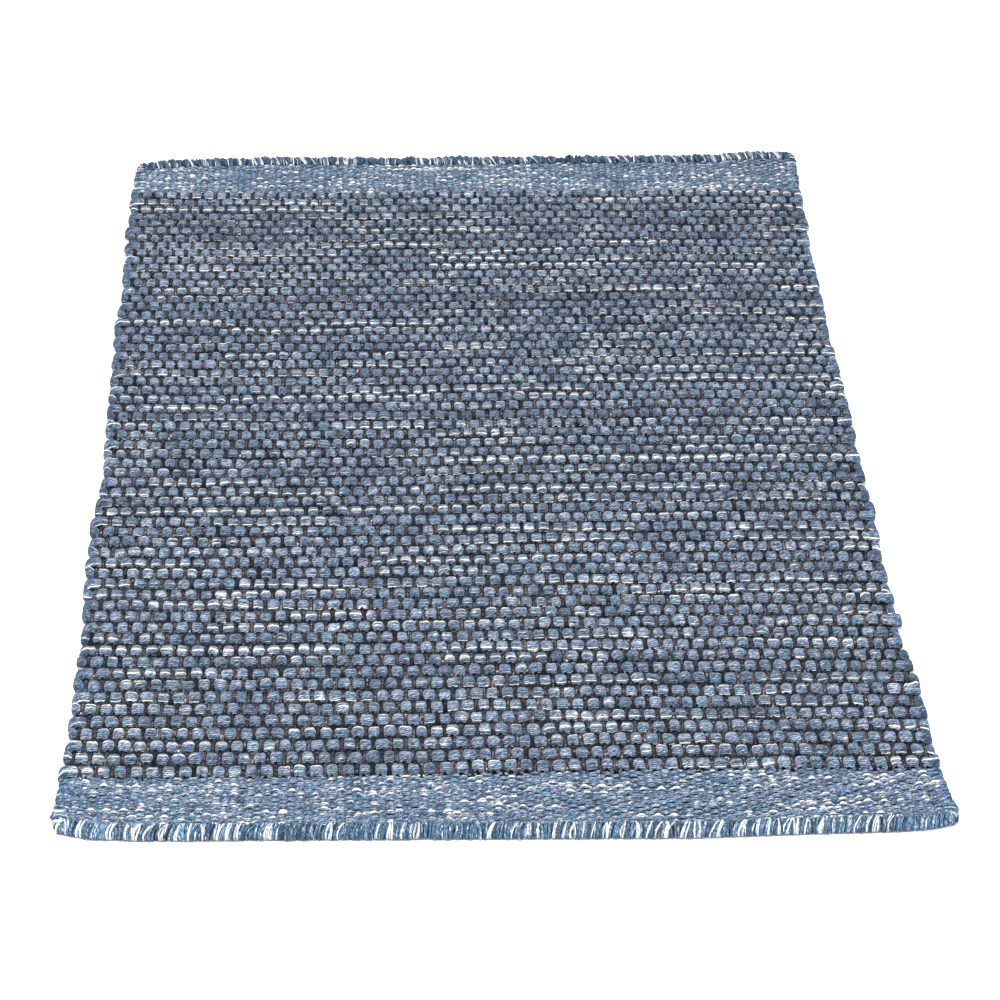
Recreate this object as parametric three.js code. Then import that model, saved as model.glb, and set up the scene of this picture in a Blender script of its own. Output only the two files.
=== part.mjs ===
// A flat-woven wool kilim, 60 by 90 cm, lying flat: one cloth with heavy weft ribs, a finely woven
// band at each end, and an overcast yarn binding along both ends. Millimetres, +Z up, +X across the
// width, +Y along the length from the front end to the back end.
import * as THREE from "three";

// The woven field, where each thick weft row is one rib.
const fieldRows = 62;
const fieldFrontY = -390;
const rowPitchFront = 13.1;
const rowPitchBack = 12.0;
const fieldCrest = 9.0;
const fieldValley = 6.6;
const ribFlatShare = 0.45;

// The bands of fine weft at both ends.
const bandRows = 22;
const bandCrest = 5.6;
const bandValley = 4.7;
const firstPickOffset = 0.7;

// The selvedge, a rounded roll down each side where the weft turns back.
const selvedgeWidth = 11;
const selvedgeUndercut = 2.5;
const selvedgeGroove = 1.1;
const loopBulge = 1.6;
const bandLoopBulge = 0.7;

// The overcast bindings, each a yarn channel that holds the cloth's end.
const pieceGap = 0.3;
const stitchPitch = 10;
const stitchGroove = 0.55;
const stitchLean = 0.35;
const endReserve = 1.9;
const endOverhang = 0.002;
const bindings = {
  front: { depth: 12, height: 7.8, wall: 1.6, clothThickness: 3.6, outward: -1 },
  back: { depth: 11.5, height: 7.2, wall: 1.6, clothThickness: 3.1, outward: 1 },
};
const rampLength = 12;
const thickenBefore = 4;
const mouthMargin = 0.6;

// How far the two selvedges stand from the centre line, from the front end to the back end.
const sideEdges = [
  { y: -455, left: -309.0, right: 308.5 },
  { y: -435, left: -310.0, right: 308.0 },
  { y: -417, left: -308.5, right: 305.5 },
  { y: -400, left: -307.5, right: 303.5 },
  { y: -381, left: -307.5, right: 302.0 },
  { y: -345, left: -305.5, right: 301.0 },
  { y: -291, left: -303.5, right: 300.5 },
  { y: -254, left: -303.5, right: 296.5 },
  { y: -200, left: -305.0, right: 295.0 },
  { y: -147, left: -306.0, right: 296.0 },
  { y: -92, left: -304.5, right: 296.5 },
  { y: -39, left: -300.5, right: 296.0 },
  { y: -3, left: -302.5, right: 296.0 },
  { y: 51, left: -303.5, right: 297.0 },
  { y: 117, left: -302.5, right: 296.0 },
  { y: 159, left: -305.0, right: 294.0 },
  { y: 214, left: -303.0, right: 295.5 },
  { y: 267, left: -302.0, right: 295.5 },
  { y: 321, left: -303.5, right: 296.0 },
  { y: 375, left: -303.0, right: 298.5 },
  { y: 411, left: -303.0, right: 300.0 },
  { y: 455, left: -303.0, right: 301.5 },
];

// The columns of points across the width: the outer line of each bound end, and how far the weft
// rows bow along the length.
const columns = [
  { share: 0.0, front: -440.0, back: 437.0, bow: 0.0 },
  { share: 0.04, front: -447.0, back: 443.5, bow: -0.4 },
  { share: 0.1, front: -449.5, back: 446.5, bow: -1.0 },
  { share: 0.23, front: -450.0, back: 449.5, bow: -1.5 },
  { share: 0.4, front: -451.0, back: 448.5, bow: -0.8 },
  { share: 0.56, front: -452.0, back: 449.5, bow: 1.2 },
  { share: 0.7, front: -453.0, back: 451.0, bow: 1.8 },
  { share: 0.82, front: -450.5, back: 452.0, bow: 2.0 },
  { share: 0.88, front: -449.5, back: 453.5, bow: 1.6 },
  { share: 0.93, front: -449.0, back: 458.5, bow: 1.3 },
  { share: 0.97, front: -447.0, back: 459.0, bow: 1.0 },
  { share: 1.0, front: -442.0, back: 456.5, bow: 0.5 },
];

const materials = {
  cloth: new THREE.MeshStandardMaterial({ color: "#4d6686", roughness: 0.95, metalness: 0 }),
  binding: new THREE.MeshStandardMaterial({ color: "#2f5478", roughness: 0.9, metalness: 0 }),
};

// A value read from a table between the two rows that a key falls between.
function lookUp(table, keyName, key, valueName) {
  const after = table.findIndex((row) => row[keyName] >= key);
  if (after === 0) return table[0][valueName];
  if (after < 0) return table[table.length - 1][valueName];
  const [low, high] = [table[after - 1], table[after]];
  return THREE.MathUtils.mapLinear(key, low[keyName], high[keyName], low[valueName], high[valueName]);
}

// The outer line of a bound end at the middle of the width, which its band is measured from.
function nominalLine(end) {
  return lookUp(columns, "share", 0.5, end);
}

function fieldLineY(row) {
  const pitchChange = (rowPitchBack - rowPitchFront) / fieldRows;
  return fieldFrontY + row * rowPitchFront + (row * row * pitchChange) / 2;
}

const fieldBackY = fieldLineY(fieldRows);

// How far in from the outer line the cloth leaves the binding's channel.
function mouthOf(binding) {
  return binding.depth + mouthMargin;
}

// The height of the cloth's underside in the band, which lifts into the binding's channel.
function bandFloor(binding, distance) {
  const lift = binding.wall + pieceGap;
  const mouth = mouthOf(binding);
  return lift * (1 - THREE.MathUtils.smoothstep(distance, mouth, mouth + rampLength));
}

// The stations of one band, from the cloth's tucked-in end to the field.
function bandStations(end) {
  const binding = bindings[end];
  const fieldY = end === "front" ? fieldFrontY : fieldBackY;
  const length = Math.abs(nominalLine(end) - fieldY);
  const mouth = mouthOf(binding);
  const tucked = { end, fieldY, length, floor: binding.wall + pieceGap, bulge: 0 };
  tucked.top = tucked.floor + binding.clothThickness;
  const stations = [{ ...tucked, distance: binding.wall + endReserve }, { ...tucked, distance: mouth }];
  for (let line = 0; line < 2 * bandRows; line += 1) {
    const distance = THREE.MathUtils.lerp(mouth, length, (line + firstPickOffset) / (2 * bandRows));
    const crest = line % 2 === 0;
    const floor = bandFloor(binding, distance);
    const grown = THREE.MathUtils.smoothstep(distance, mouth - thickenBefore, mouth + rampLength);
    const thickness = THREE.MathUtils.lerp(binding.clothThickness, crest ? bandCrest : bandValley, grown);
    const bulge = crest ? bandLoopBulge : 0;
    stations.push({ end, fieldY, length, distance, floor, top: floor + thickness, bulge });
  }
  return stations;
}

// The stations of the field: a valley and the two edges of a flat crest for each row.
function fieldStations() {
  const stations = [];
  const inset = (1 - ribFlatShare) / 2;
  for (let row = 0; row <= fieldRows; row += 1) {
    stations.push({ y: fieldLineY(row), top: fieldValley, floor: 0, bulge: 0 });
    if (row === fieldRows) break;
    for (const offset of [inset, 1 - inset]) {
      stations.push({ y: fieldLineY(row + offset), top: fieldCrest, floor: 0, bulge: loopBulge });
    }
  }
  return stations;
}

// Where a station lies along the length, a share of the way across the width.
function stationY(station, share) {
  const bow = lookUp(columns, "share", share, "bow");
  if (station.end === undefined) return station.y + bow;
  const mouth = mouthOf(bindings[station.end]);
  const line = lookUp(columns, "share", share, station.end);
  const lengthHere = Math.abs(station.fieldY + bow - line);
  const stretch = (lengthHere - mouth) / (station.length - mouth);
  const distance = Math.min(station.distance, mouth) + Math.max(station.distance - mouth, 0) * stretch;
  return line - bindings[station.end].outward * distance;
}

// One ring of points round the cloth at a station: the underside's two edges and the top between.
function clothRing(station) {
  const nominalY = stationY(station, 0.5);
  const left = lookUp(sideEdges, "y", nominalY, "left") - station.bulge;
  const right = lookUp(sideEdges, "y", nominalY, "right") + station.bulge;
  const thickness = station.top - station.floor;
  const middle = station.floor + thickness / 2;
  const groove = station.top - selvedgeGroove * (thickness / fieldCrest);
  const edge = (x, inward) => [
    { x: x + inward * selvedgeUndercut, z: station.floor },
    { x, z: middle },
    { x: x + (inward * selvedgeWidth) / 3, z: station.top },
    { x: x + inward * selvedgeWidth, z: groove },
  ];
  const points = edge(left, 1);
  for (const { share } of columns.slice(1, -1)) {
    points.push({ x: THREE.MathUtils.lerp(left, right, share), z: station.top });
  }
  points.push(...edge(right, -1).reverse());
  return points.map(({ x, z }) => {
    const share = (x - left) / (right - left);
    return new THREE.Vector3(x, stationY(station, share), z);
  });
}

// A closed solid through rings with the same number of points, capped at both ends.
function loft(rings, capTriangles) {
  const positions = [];
  const size = rings[0].length;
  const add = (...corners) => corners.forEach((corner) => positions.push(corner.x, corner.y, corner.z));
  for (let ring = 0; ring + 1 < rings.length; ring += 1) {
    for (let point = 0; point < size; point += 1) {
      const next = (point + 1) % size;
      const [a, b] = [rings[ring][point], rings[ring][next]];
      const [c, d] = [rings[ring + 1][next], rings[ring + 1][point]];
      add(a, b, c);
      add(a, c, d);
    }
  }
  const first = rings[0];
  const last = rings[rings.length - 1];
  for (const [a, b, c] of capTriangles) {
    add(first[c], first[b], first[a]);
    add(last[a], last[b], last[c]);
  }
  const geometry = new THREE.BufferGeometry();
  geometry.setAttribute("position", new THREE.Float32BufferAttribute(positions, 3));
  geometry.computeVertexNormals();
  return geometry;
}

// The triangles that close the cloth's ring: each half of the top fans down to its bottom corner.
function clothCap(size) {
  const middle = Math.floor(size / 2);
  const triangles = [[0, middle, size - 1]];
  for (let point = 1; point < middle; point += 1) triangles.push([0, point, point + 1]);
  for (let point = middle; point < size - 2; point += 1) triangles.push([size - 1, point, point + 1]);
  return triangles;
}

// The triangles that close a binding's section, turned the way its points run.
function bindingCap(section) {
  const flat = section.map(({ inset, z }) => new THREE.Vector2(inset, z));
  const turn = Math.sign(THREE.ShapeUtils.area(flat));
  return THREE.ShapeUtils.triangulateShape(flat, []).map(([a, b, c]) => {
    const same = Math.sign(THREE.ShapeUtils.area([flat[a], flat[b], flat[c]])) === turn;
    return same ? [a, b, c] : [a, c, b];
  });
}

function makeCloth() {
  const stations = [...bandStations("front"), ...fieldStations(), ...bandStations("back").reverse()];
  const rings = stations.map(clothRing);
  const cloth = new THREE.Mesh(loft(rings, clothCap(rings[0].length)), materials.cloth);
  cloth.name = "woven_cloth";
  return cloth;
}

// The section of a binding: how far each corner lies inside the outer line, its height, and whether
// it is on the outer skin, where the grooves between stitches show.
function bindingSection({ depth, height, wall, clothThickness }) {
  const slotFloor = wall;
  const slotTop = wall + clothThickness + 2 * pieceGap;
  return [
    { inset: depth * 0.16, z: 0, skin: false },
    { inset: 0, z: height * 0.42, skin: true },
    { inset: depth * 0.14, z: height * 0.84, skin: true },
    { inset: depth * 0.42, z: height, skin: true },
    { inset: depth * 0.76, z: height * 0.97, skin: true },
    { inset: depth, z: slotTop + wall * 0.35, skin: true },
    { inset: depth, z: slotTop, skin: false },
    { inset: wall, z: slotTop, skin: false },
    { inset: wall, z: slotFloor, skin: false },
    { inset: depth * 0.96, z: slotFloor, skin: false },
    { inset: depth * 0.9, z: 0, skin: false },
  ];
}

// One ring of a binding, full at the middle of a stitch and grooved where two stitches meet.
function bindingRing(end, section, share, left, right, grooved) {
  const { depth, height, outward } = bindings[end];
  return section.map(({ inset, z, skin }) => {
    const groove = grooved && skin ? stitchGroove : 0;
    const x = THREE.MathUtils.lerp(left, right, share) + stitchLean * (inset - depth / 2);
    const line = lookUp(columns, "share", (x - left) / (right - left), end);
    const pulledIn = inset < depth / 2 ? inset + groove : inset;
    const lowered = z > height / 2 ? z - groove : z;
    return new THREE.Vector3(x, line - outward * pulledIn, lowered);
  });
}

function makeBinding(end) {
  const section = bindingSection(bindings[end]);
  const left = lookUp(sideEdges, "y", nominalLine(end), "left");
  const right = lookUp(sideEdges, "y", nominalLine(end), "right");
  const stitches = Math.round((right - left) / stitchPitch);
  const rings = [];
  for (let step = 0; step <= 2 * stitches; step += 1) {
    const share = THREE.MathUtils.lerp(-endOverhang, 1 + endOverhang, step / (2 * stitches));
    rings.push(bindingRing(end, section, share, left, right, step % 2 === 0));
  }
  const facing = bindings[end].outward < 0 ? rings.reverse() : rings;
  const binding = new THREE.Mesh(loft(facing, bindingCap(section)), materials.binding);
  binding.name = `${end}_binding`;
  return binding;
}

// The origin is under the middle of the kilim's box, on the floor.
const kilim = new THREE.Group();
kilim.add(makeCloth(), makeBinding("front"), makeBinding("back"));
const box = new THREE.Box3().setFromObject(kilim);
const centre = box.getCenter(new THREE.Vector3());
kilim.position.set(-centre.x, -centre.y, -box.min.z);

export default kilim;
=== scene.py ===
import math

import bpy
import numpy as np
from mathutils import Euler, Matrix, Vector


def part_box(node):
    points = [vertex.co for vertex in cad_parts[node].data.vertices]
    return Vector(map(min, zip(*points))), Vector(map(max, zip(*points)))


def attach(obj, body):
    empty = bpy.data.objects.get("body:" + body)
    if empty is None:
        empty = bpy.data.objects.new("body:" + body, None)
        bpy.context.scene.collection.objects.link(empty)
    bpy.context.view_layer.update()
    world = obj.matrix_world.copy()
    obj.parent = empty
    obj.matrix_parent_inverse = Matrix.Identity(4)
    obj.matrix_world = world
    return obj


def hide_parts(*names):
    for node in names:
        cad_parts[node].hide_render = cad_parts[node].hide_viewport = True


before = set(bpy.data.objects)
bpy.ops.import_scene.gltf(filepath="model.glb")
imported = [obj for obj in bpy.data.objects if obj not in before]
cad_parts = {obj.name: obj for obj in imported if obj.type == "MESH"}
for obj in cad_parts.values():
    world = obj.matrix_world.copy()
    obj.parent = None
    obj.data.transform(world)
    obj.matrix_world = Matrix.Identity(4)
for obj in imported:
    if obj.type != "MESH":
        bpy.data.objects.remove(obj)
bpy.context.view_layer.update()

MM = 0.001
SEED = 7

# The field of thick weft.
FIELD_ROWS = 62
FIELD_FRONT_Y = -390.0
ROW_PITCH_FRONT = 13.1
ROW_PITCH_BACK = 12.0
THICKNESS = 9.0
SHUTTLES = 4
WEFT_STRANDS = 16

# The warps.
WARPS = 107
WARP_MARGIN = 7.0
WARP_WIDTH = 3.7
WARP_HALF_HEIGHT = 1.1
WARP_LIFT = 1.5
WARP_STRANDS = 6
# Where a warp runs under the weft it is painted almost black: painted shade.
WARP_PAINTED_SHADE_UNDER = 0.05

# A warp has rings this share of a row in from the row's edges, where it is over or under the weft.
RING_INSET_OVER = 0.15
RING_INSET_UNDER = 0.23

# A weft nub in warp spacings from its middle: its rings, and its half width.
NUB_STEPS = np.array([0.38, 0.62, 0.78])
NUB_REACH = 0.79
NUB_POWER = 5.0

# Seen from above a nub is a rounded square, and the yarn between two nubs keeps a share of its width.
PLAN_POWER = 4.5
PLAN_NARROWEST = 0.52

# The height of a weft's top between its nubs, how far a nub stands above that by row, and how far
# a nub of the underside stands out.
WEFT_VALLEY = 5.0
CREST_RISE = np.array([(0, 4.0), (61, 3.6)])
UNDER_RISE = 4.0

# A weft's half width as a share of the pitch, and how bright its wool is painted, darker towards the back as
# painted shade: row, value.
ROW_HALF = np.array([(0, 0.412), (20, 0.398), (61, 0.375)])
ROW_PAINTED_SHADE = np.array([(0, 0.96), (25, 0.86), (61, 0.86)])

# How much nubs differ: height and place in millimetres, and width along and across as shares.
WEFT_VARIES = dict(crest=0.32, fat=0.10, wide=0.09, x=0.38, y=0.42)
BAND_VARIES = dict(crest=0.16, fat=0.09, x=0.45, y=0.22)

# Painted shade: how bright a yarn is painted where it dips between its nubs, and what the nubs add to that.
WEFT_DIP_PAINTED_SHADE = (0.32, 0.68)
BAND_DIP_PAINTED_SHADE = (0.16, 0.84)

# The two strands of a yarn that turn pale: in how many runs along a row, and the chance of each run.
WEFT_PALE_RUNS = ((9, 0.58), (11, 0.53))
BAND_PALE_RUNS = ((16, 0.21), (44, 0.26))

# The rounded end of a row beyond its outer warps, from the warp out to the tip. An over row's nub
# runs on to its tip, and an under row comes up to a nub of its own.
EDGE_RINGS = np.array([5.6, 3.6, 1.8, 0.6, 0.0])
OVER_EDGE = dict(top=np.array([9.0, 8.7, 7.8, 6.4, 5.0]), bottom=np.array([2.9, 2.4, 2.2, 2.5, 3.2]),
                 half=np.array([5.9, 6.9, 7.0, 6.1, 3.6]), out=1.3)
UNDER_EDGE = dict(top=np.array([7.9, 8.7, 8.2, 6.9, 5.2]), bottom=np.array([0.3, 1.0, 1.8, 2.6, 3.6]),
                  half=np.array([5.4, 6.5, 6.6, 5.7, 3.3]), out=1.0)

# How far the end of a row is drawn to its neighbour's, and the share and the length of long loops.
EDGE_TURN = np.array([0.3, 1.1, 2.2, 3.1, 3.7])
LONG_LOOPS = 0.06
LONG_LOOP_OUT = 2.2

# The bands of fine weft. A pick's half width is a share of the pitch, and its nubs add to it.
BAND_PICKS = 22
BAND_STRANDS = 5
BAND_THICKNESS = 5.6
BAND_OVERLAP = 2.6
# How bright each band's wool is painted: the back band darker, as painted shade.
BAND_PAINTED_SHADE = {"front": 1.0, "back": 0.92}
BAND_NUB_STEPS = np.array([0.29, 0.51])
BAND_NUB_REACH = 0.55
BAND_NUB_POWER = 2.4
PICK_HALF = (0.44, 0.40)

# The rounded end of a pick beyond its outer warps: its rings, and how full it is at each. On the
# face where the pick passes its outer warp the end is full, and on the other flatter.
PICK_END_RINGS = np.array([4.5, 2.4, 0.8, 0.0])
PICK_END_FULL = np.array([1.0, 0.95, 0.7, 0.25])
PICK_END_FLAT = 0.7
PICK_END_HALF = (0.35, 0.65)
OVER_PICK_OUT = 0.9
UNDER_PICK_OUT = 0.1

# How many points a weft's section has over and under its middle, and how square it is.
FIELD_UPPER_POINTS = 5
BAND_UPPER_POINTS = 4
LOWER_POINTS = 3
SECTION_POWER = 0.85

# The ground that closes the cloth between the weft's two faces; its wool is darkened as painted shade.
GROUND_INSET = 3.0
GROUND_HALF = 0.15
GROUND_PAINTED_SHADE = 0.3
GROUND_LENGTH = 880
GROUND_STATIONS = {"band": 8, "field": 63, "across": 25}

# The overcast bindings. wall and cloth are the thickness of the binding under the cloth and of the
# cloth in it, outward is the way out from the cloth, yarn is the radius, reach a share of the depth,
# pale_yarn a share of the radius, and shade darkens the back binding's yarn as painted shade.
BINDINGS = {
    "front": dict(depth=12.0, height=7.8, wall=1.6, cloth=3.6, outward=-1, stitches=74,
                  yarn=0.98, reach=0.96, shade=1.0, bulge=0.95, uneven=0.22,
                  pale_yarn=(0.50, 0.82), pale_share=0.82),
    "back": dict(depth=11.5, height=7.2, wall=1.6, cloth=3.1, outward=1, stitches=84,
                 yarn=0.92, reach=0.92, shade=0.62, bulge=1.4, uneven=0.50,
                 pale_yarn=(0.38, 0.72), pale_share=0.84),
}
MOUTH_GAP = 0.4
WALL_GAP = 0.3
RAMP_LENGTH = 12.0
STITCH_STRANDS = 5
STITCH_LEAN = 0.22
STITCH_DRAW = 0.75
YARN_SIDES = 6
YARN_LENGTH = 34.0
YARN_ENDS = (0.55, 0.6)

# Pale strands: how many lie side by side and how often, how far apart, how much more they lean than
# the blue ones, how far they lift, and the range of their plenty along the binding.
PALE_BUNDLES = ((1, 0.16), (2, 0.32), (3, 0.30), (4, 0.22))
PALE_SPACING = 1.15
PALE_LEAN = 0.06
PALE_LIFT = (0.35, 1.05)
PALE_PLENTY = (0.45, 1.55)
PALE_PLENTY_KNOTS = 14

# The yarns that turn round the corners, in quarter turns; past one they climb the selvedge.
CORNER_RADIUS = 7.0
CORNER_TURNS = np.linspace(0.1, 1.25, 9)
PALE_CORNER_TURNS = np.linspace(0.15, 1.1, 5)
CORNER_CLIMB = 7.0
CORNER_CLIMB_TURN = 0.25

# The way of an overcast yarn round the end, ring by ring from the cloth's top to its underside: its
# inset and height as shares of the binding's depth and height, and what the yarn's radius and its
# lift add to both.
WAY_INSET = np.array([1.10, 1.03, 0.80, 0.48, 0.20, 0.05, 0.06, 0.22, 0.55, 0.90])
WAY_INSET_RADIUS = np.array([0.6, 0.2, 0, 0, 0, 0.6, 0.6, 0, 0, 0])
WAY_INSET_LIFT = np.array([0, 0, 0, 0, 0.3, 0.8, 0.8, 0, 0, 0])
WAY_HEIGHT = np.array([0.60, 0.76, 0.93, 1.0, 0.92, 0.66, 0.34, 0, 0, 0])
WAY_HEIGHT_RADIUS = np.array([0, 0, -1, -1, -1, 0, 0, 1, 1, 1])
WAY_HEIGHT_LIFT = np.array([0, 0.3, 1, 1, 1, 0.4, 0, 0, 0, 0])

# At each ring, how far a strand is drawn to its stitch's hole, and how far it sways to the side.
HOLE_PULL = np.array([1.0, 0.9, 0.5, 0.1, 0.0, 0.0, 0.0, 0.1, 0.4, 0.8])
SWAY = np.array([0.0, 0.1, 0.45, 0.9, 1.0, 0.65, 0.2, 0.0, 0.0, 0.0])

# The roll under the overcast yarn: its middle and half depth as shares of the binding's size, and
# the space over and under it in radii of the yarn.
CORE_MIDDLE = (0.52, 0.48)
CORE_HALF_DEPTH = 0.42
CORE_YARN_SPACE = 0.9
CORE_INSET = 1.5
CORE_RINGS = 60
CORE_SIDES = 12
# How dark the core's wool is painted: painted shade between the stitches.
CORE_PAINTED_SHADE = 0.15

# Stray fibres, which are thicker on the bindings.
CLOTH_FIBRES = 1500
BINDING_FIBRES = 420
CLOTH_FIBRE_LENGTH = (3, 11)
BINDING_FIBRE_LENGTH = (3, 7)
FIBRE_RADIUS = (0.07, 0.17)
CLOTH_FIBRE_THICK = 0.8
BINDING_FIBRE_THICK = 1.3
FIBRE_INSET = 3
FIBRE_STEPS = 5
FIBRE_UV_LENGTH = 15

# How far the selvedges stand from the centre line: y, left, right.
SIDE_EDGES = np.array([
    (-455, -309, 308.5), (-435, -310, 308), (-417, -308.5, 305.5), (-400, -307.5, 303.5),
    (-381, -307.5, 302), (-345, -305.5, 301), (-291, -303.5, 300.5), (-254, -303.5, 296.5),
    (-200, -305, 295), (-147, -306, 296), (-92, -304.5, 296.5), (-39, -300.5, 296),
    (-3, -302.5, 296), (51, -303.5, 297), (117, -302.5, 296), (159, -305, 294),
    (214, -303, 295.5), (267, -302, 295.5), (321, -303.5, 296), (375, -303, 298.5),
    (411, -303, 300), (455, -303, 301.5),
])

# Across the width: share, the outer lines of the front and back ends, and the bow of the rows.
COLUMNS = np.array([
    (0.00, -440, 437, 0), (0.04, -447, 443.5, -0.4), (0.10, -449.5, 446.5, -1),
    (0.23, -450, 449.5, -1.5), (0.40, -451, 448.5, -0.8), (0.56, -452, 449.5, 1.2),
    (0.70, -453, 451, 1.8), (0.82, -450.5, 452, 2), (0.88, -449.5, 453.5, 1.6),
    (0.93, -449, 458.5, 1.3), (0.97, -447, 459, 1), (1.00, -442, 456.5, 0.5),
])


def left_edge(y):
    return np.interp(y, SIDE_EDGES[:, 0], SIDE_EDGES[:, 1])


def right_edge(y):
    return np.interp(y, SIDE_EDGES[:, 0], SIDE_EDGES[:, 2])


def across_share(x, y):
    """Where x lies between the selvedges at y, from 0 at the left to 1 at the right."""
    return (x - left_edge(y)) / (right_edge(y) - left_edge(y))


def end_line(end, share):
    return np.interp(share, COLUMNS[:, 0], COLUMNS[:, 1 if end == "front" else 2])


def bow(share):
    return np.interp(share, COLUMNS[:, 0], COLUMNS[:, 3])


def row_line(row):
    """Where a row begins along the length. The pitch narrows evenly from the front to the back."""
    narrowing = (ROW_PITCH_BACK - ROW_PITCH_FRONT) / (2 * FIELD_ROWS)
    return FIELD_FRONT_Y + row * ROW_PITCH_FRONT + row**2 * narrowing


def by_row(table, row):
    return np.interp(row, table[:, 0], table[:, 1])


FIELD_BACK_Y = row_line(FIELD_ROWS)

# The part's frame has its origin under the middle of the box, so the tables' own origin is found
# from the cloth's sides and the front binding's outermost line.
front_low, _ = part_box("front_binding")
cloth_low, cloth_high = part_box("woven_cloth")
TABLE_ORIGIN = np.array([
    (cloth_low[0] + cloth_high[0]) / (2 * MM) - (SIDE_EDGES[:, 1].min() + SIDE_EDGES[:, 2].max()) / 2,
    front_low[1] / MM - COLUMNS[:, 1].min(),
    0.0,
])


def ease(value):
    return value * value * (3 - 2 * value)


def stacked(x, y, z):
    return np.stack(np.broadcast_arrays(x, y, z), -1)


def smooth_steps(share, knots):
    """Random values at even knots, eased between them. knots is (..., count) and share is in 0..1."""
    place = share * (knots.shape[-1] - 1)
    low = np.clip(np.floor(place).astype(int), 0, knots.shape[-1] - 2)
    eased = ease(place - low)
    return knots[..., low] * (1 - eased) + knots[..., low + 1] * eased


# Meshes made of many tubes

def tube_mesh(name, points, distance, material, thread, pale=None, bake_columns=1):
    """One mesh of closed tubes. points is (tubes, rings, sides, 3) in the tables' millimetres and
    distance that of each ring along its tube. thread and pale are (tubes, rings, 3): seed, twist and
    shade, which holds random tone and painted shade, and how pale the first and the second strand are
    and how much of the darker tint of painted shade the rounded ends take."""
    tubes, rings, sides = points.shape[:3]
    pale = np.zeros_like(thread) if pale is None else pale
    places = ((points + TABLE_ORIGIN) * MM).reshape(-1, 3)
    vertex = np.arange(tubes * rings * sides).reshape(tubes, rings, sides)
    beside = np.roll(vertex, -1, axis=2)
    quads = np.stack([vertex[:, :-1], beside[:, :-1], beside[:, 1:], vertex[:, 1:]], axis=-1)
    quads = quads.reshape(-1, 4)
    caps = np.concatenate([vertex[:, 0, ::-1], vertex[:, -1]])
    corners = np.concatenate([quads.ravel(), caps.ravel()])
    totals = np.concatenate([np.full(len(quads), 4), np.full(len(caps), sides)])
    starts = np.concatenate([[0], np.cumsum(totals)[:-1]])

    mesh = bpy.data.meshes.new(name)
    mesh.vertices.add(len(places))
    mesh.vertices.foreach_set("co", places.ravel().astype(np.float32))
    mesh.loops.add(len(corners))
    mesh.loops.foreach_set("vertex_index", corners.astype(np.int32))
    mesh.polygons.add(len(totals))
    mesh.polygons.foreach_set("loop_start", starts.astype(np.int32))
    mesh.polygons.foreach_set("use_smooth", np.ones(len(totals), dtype=bool))

    # Each tube's skin is laid out as a strip for baking, and in millimetres for the weave's shader.
    tube_of = np.broadcast_to(np.arange(tubes)[:, None, None, None], (tubes, rings - 1, sides, 4))
    side = np.arange(sides)[None, None, :, None]
    around = np.broadcast_to((side + np.array([0, 1, 1, 0])) / sides, tube_of.shape)
    distance = np.broadcast_to(distance, (tubes, rings))
    length = distance.max()
    near, far = distance[:, :-1], distance[:, 1:]
    reach = np.broadcast_to(np.stack([near, near, far, far], axis=-1)[:, :, None, :], tube_of.shape)
    tube = np.concatenate([tube_of.ravel(), np.repeat(np.tile(np.arange(tubes), 2), sides)])
    cap_reach = np.repeat(np.concatenate([distance[:, 0], distance[:, -1]]), sides)
    reach = np.concatenate([reach.ravel(), cap_reach])
    around = np.concatenate([around.ravel(), np.full(len(cap_reach), 0.5)])
    bake_u = (tube % bake_columns + 0.01 + 0.98 * reach / length) / bake_columns
    bake_v = (tube // bake_columns + (0.03 + 0.94 * around)) / math.ceil(tubes / bake_columns)
    lay_out(mesh, "OFBake", bake_u, bake_v)
    lay_out(mesh, "weave", reach, around)

    for key, values in (("thread", thread), ("pale", pale)):
        layer = mesh.attributes.new(key, "FLOAT_VECTOR", "POINT")
        spread = np.broadcast_to(values[:, :, None, :], (tubes, rings, sides, 3))
        layer.data.foreach_set("vector", spread.astype(np.float32).ravel())
    mesh.update()
    mesh.validate()
    piece = bpy.data.objects.new(name, mesh)
    bpy.context.scene.collection.objects.link(piece)
    mesh.materials.append(material)
    return piece


def lay_out(mesh, name, u, v):
    layer = mesh.uv_layers.new(name=name)
    layer.uv.foreach_set("vector", np.stack([u, v], axis=-1).astype(np.float32).ravel())


def plain_thread(tubes, rings, shade):
    """Thread values without seed and twist, of one shade."""
    thread = np.zeros((tubes, rings, 3))
    thread[..., 2] = shade
    return thread


# Materials

def set_inputs(node, values):
    for key, value in values.items():
        node.inputs[key].default_value = value


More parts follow.
